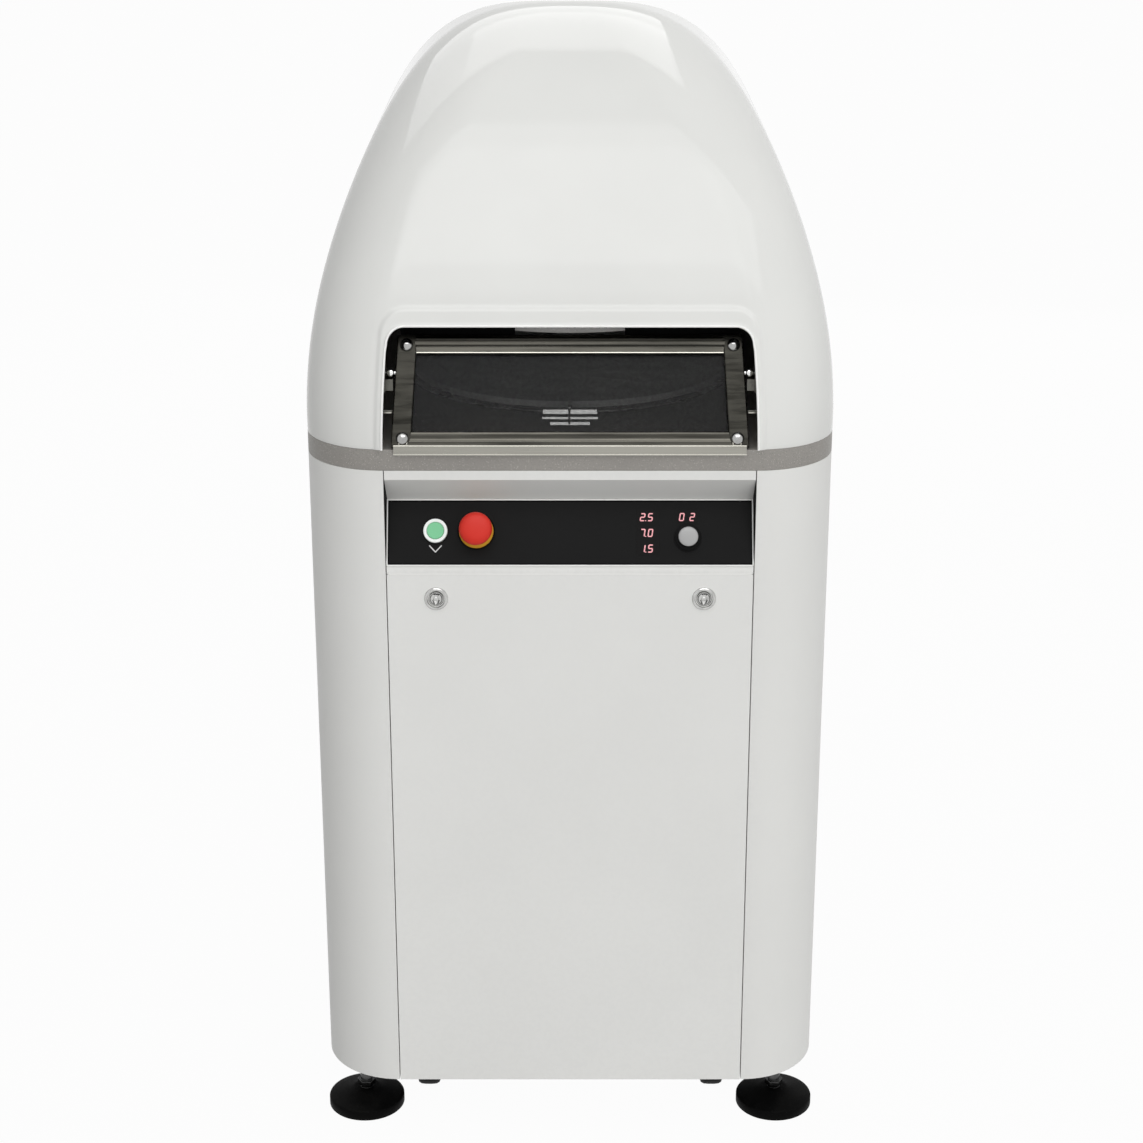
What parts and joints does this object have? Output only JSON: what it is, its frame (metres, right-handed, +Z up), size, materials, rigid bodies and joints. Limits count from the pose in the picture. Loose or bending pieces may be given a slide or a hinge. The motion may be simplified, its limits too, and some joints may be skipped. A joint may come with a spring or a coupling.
{
  "type": "dough divider-rounder",
  "caption": "Floor-standing bakery dough divider-rounder with domed tilting hood, swing guard, press head, orbiting moulding plate and lockable front door.",
  "frame": {"origin": "on the floor, under the centre of the whole machine", "axes": "+Z up, -Y towards the operator at the front, +X to the operator's right"},
  "size_m": [0.646, 0.7366, 1.4173],
  "materials": {
    "cover_white": "satin powder coat",
    "hood_white": "glossy moulded shell",
    "band_grey": "speckled grey coating",
    "panel_black": "semi-gloss",
    "display_red": "dark red film",
    "bezel_white": "satin",
    "button_green": "translucent green",
    "collar_yellow": "satin",
    "stop_red": "satin red",
    "dark_plastic": "matt",
    "cap_grey": "satin",
    "zinc_steel": "bright zinc plated",
    "frame_paint": "grey primer",
    "box_grey": "satin",
    "cast_grey": "as cast, painted",
    "motor_blue": "hammered",
    "tank_paint": "satin",
    "belt_rubber": "matt",
    "pulley_iron": "machined",
    "ground_steel": "ground",
    "foot_rubber": "matt black",
    "wheel_rubber": "matt",
    "lock_chrome": "polished",
    "guard_steel": "brushed stainless",
    "pane_smoke": "smoked clear plastic",
    "head_alu": "machined",
    "stamp_plastic": "food-grade, smooth",
    "knife_steel": "stainless"
  },
  "bodies": {
    "chassis": {"base_plate": "zinc_steel", "chassis_frame": "frame_paint", "left_side_cover": "cover_white", "right_side_cover": "cover_white", "rear_panel": "cover_white", "front_fascia": "cover_white", "control_panel": "panel_black", "display_lens": "display_red", "start_bezel": "bezel_white", "stop_collar": "collar_yellow", "control_box": "box_grey", "cable_gland": "dark_plastic", "table_plate": "band_grey", "bearing_housing": "cast_grey", "drive_motor": "motor_blue", "drive_belt": "belt_rubber", "press_column": "frame_paint", "press_cylinder": "ground_steel", "hydraulic_tank": "tank_paint", "hydraulic_pump": "motor_blue", "pressure_pipe": "ground_steel", "hinge_base": "zinc_steel", "hinge_pins": "zinc_steel", "rear_castor_forks": "zinc_steel"},
    "left_foot": {"left_foot_pad": "foot_rubber", "left_foot_spindle": "zinc_steel"},
    "right_foot": {"right_foot_pad": "foot_rubber", "right_foot_spindle": "zinc_steel"},
    "left_castor": {"left_castor_fork": "zinc_steel"},
    "right_castor": {"right_castor_fork": "zinc_steel"},
    "front_left_wheel": {"front_left_wheel": "wheel_rubber"},
    "front_right_wheel": {"front_right_wheel": "wheel_rubber"},
    "rear_left_wheel": {"rear_left_wheel": "wheel_rubber"},
    "rear_right_wheel": {"rear_right_wheel": "wheel_rubber"},
    "door": {"front_door": "cover_white", "lock_bodies": "lock_chrome"},
    "left_lock": {"left_lock_plug": "lock_chrome"},
    "right_lock": {"right_lock_plug": "lock_chrome"},
    "start_button": {"start_button": "button_green"},
    "stop_stem": {"stop_stem": "dark_plastic"},
    "stop_head": {"stop_button": "stop_red"},
    "selector": {"selector_knob": "dark_plastic", "knob_cap": "cap_grey"},
    "hood": {"hood_shell": "hood_white", "hinge_leaf": "zinc_steel", "guard_brackets": "zinc_steel", "guard_pins": "lock_chrome"},
    "guard": {"guard_frame": "guard_steel", "guard_pane": "pane_smoke", "guard_screws": "lock_chrome"},
    "press_head": {"piston_rod": "ground_steel", "head_carrier": "head_alu", "press_ring": "head_alu", "press_stamps": "stamp_plastic"},
    "knife": {"knife_grid": "knife_steel"},
    "eccentric": {"eccentric_shaft": "ground_steel", "driven_pulley": "pulley_iron"},
    "motor_rotor": {"motor_pulley": "pulley_iron"},
    "table": {"rounding_table": "head_alu", "moulding_plate": "stamp_plastic"}
  },
  "joints": [
    {"name": "hood_tilt", "type": "hinge", "parent": "chassis", "child": "hood", "pos_m": [0, 0.35634, 0.946], "axis": [-1, 0, 0], "range_deg": [0, 55]},
    {"name": "guard_swing", "type": "hinge", "parent": "hood", "child": "guard", "pos_m": [0, -0.30842, 1.0214], "axis": [1, 0, 0], "range_deg": [-70, 0]},
    {"name": "door_tilt", "type": "hinge", "parent": "chassis", "child": "door", "pos_m": [0, -0.34366, 0.09], "axis": [1, 0, 0], "range_deg": [0, 80]},
    {"name": "left_lock_turn", "type": "hinge", "parent": "door", "child": "left_lock", "pos_m": [-0.162, -0.35166, 0.751], "axis": [0, -1, 0], "range_deg": [0, 90]},
    {"name": "right_lock_turn", "type": "hinge", "parent": "door", "child": "right_lock", "pos_m": [0.162, -0.35166, 0.751], "axis": [0, 1, 0], "range_deg": [0, 90]},
    {"name": "start_press", "type": "slide", "parent": "chassis", "child": "start_button", "axis": [0, 0.8944, -0.4472], "range_m": [0, 0.003], "stiffness_N_per_m": 400, "springref_m": -0.002},
    {"name": "stop_press", "type": "slide", "parent": "chassis", "child": "stop_stem", "axis": [0, 0.8944, -0.4472], "range_m": [0, 0.005]},
    {"name": "stop_twist", "type": "hinge", "parent": "stop_stem", "child": "stop_head", "pos_m": [-0.113, -0.33243, 0.83046], "axis": [0, 0.8944, -0.4472], "range_deg": [0, 45], "stiffness_Nm_per_rad": 0.05, "springref_deg": -11.46},
    {"name": "knob_turn", "type": "hinge", "parent": "chassis", "child": "selector", "pos_m": [0.142, -0.33601, 0.8233], "axis": [0, 0.8944, -0.4472], "continuous": true},
    {"name": "head_press", "type": "slide", "parent": "chassis", "child": "press_head", "axis": [0, 0, -1], "range_m": [0, 0.085]},
    {"name": "knife_cut", "type": "slide", "parent": "press_head", "child": "knife", "axis": [0, 0, -1], "range_m": [0, 0.03]},
    {"name": "eccentric_spin", "type": "hinge", "parent": "chassis", "child": "eccentric", "pos_m": [0, -0.01166, 0.9], "axis": [0, 0, 1], "continuous": true},
    {"name": "table_orbit", "type": "hinge", "parent": "eccentric", "child": "table", "pos_m": [0, 0.00034, 0.94], "axis": [0, 0, 1], "continuous": true},
    {"name": "motor_spin", "type": "hinge", "parent": "chassis", "child": "motor_rotor", "pos_m": [0.15, -0.01166, 0.8], "axis": [0, 0, 1], "continuous": true},
    {"name": "left_castor_swivel", "type": "hinge", "parent": "chassis", "child": "left_castor", "pos_m": [-0.191, -0.19266, 0.108], "axis": [0, 0, 1], "continuous": true},
    {"name": "right_castor_swivel", "type": "hinge", "parent": "chassis", "child": "right_castor", "pos_m": [0.191, -0.19266, 0.108], "axis": [0, 0, 1], "continuous": true},
    {"name": "front_left_roll", "type": "hinge", "parent": "left_castor", "child": "front_left_wheel", "pos_m": [-0.191, -0.22066, 0.041], "axis": [1, 0, 0], "continuous": true},
    {"name": "front_right_roll", "type": "hinge", "parent": "right_castor", "child": "front_right_wheel", "pos_m": [0.191, -0.22066, 0.041], "axis": [1, 0, 0], "continuous": true},
    {"name": "rear_left_roll", "type": "hinge", "parent": "chassis", "child": "rear_left_wheel", "pos_m": [-0.24, 0.24834, 0.04], "axis": [1, 0, 0], "continuous": true},
    {"name": "rear_right_roll", "type": "hinge", "parent": "chassis", "child": "rear_right_wheel", "pos_m": [0.24, 0.24834, 0.04], "axis": [1, 0, 0], "continuous": true},
    {"name": "left_foot_level", "type": "slide", "parent": "chassis", "child": "left_foot", "axis": [0, 0, -1], "range_m": [0, 0.02]},
    {"name": "right_foot_level", "type": "slide", "parent": "chassis", "child": "right_foot", "axis": [0, 0, -1], "range_m": [0, 0.02]}
  ],
  "couplings": [
    {"joint": "table_orbit", "follows": "eccentric_spin", "ratio": -1},
    {"joint": "motor_spin", "follows": "eccentric_spin", "ratio": 2.2857}
  ]
}
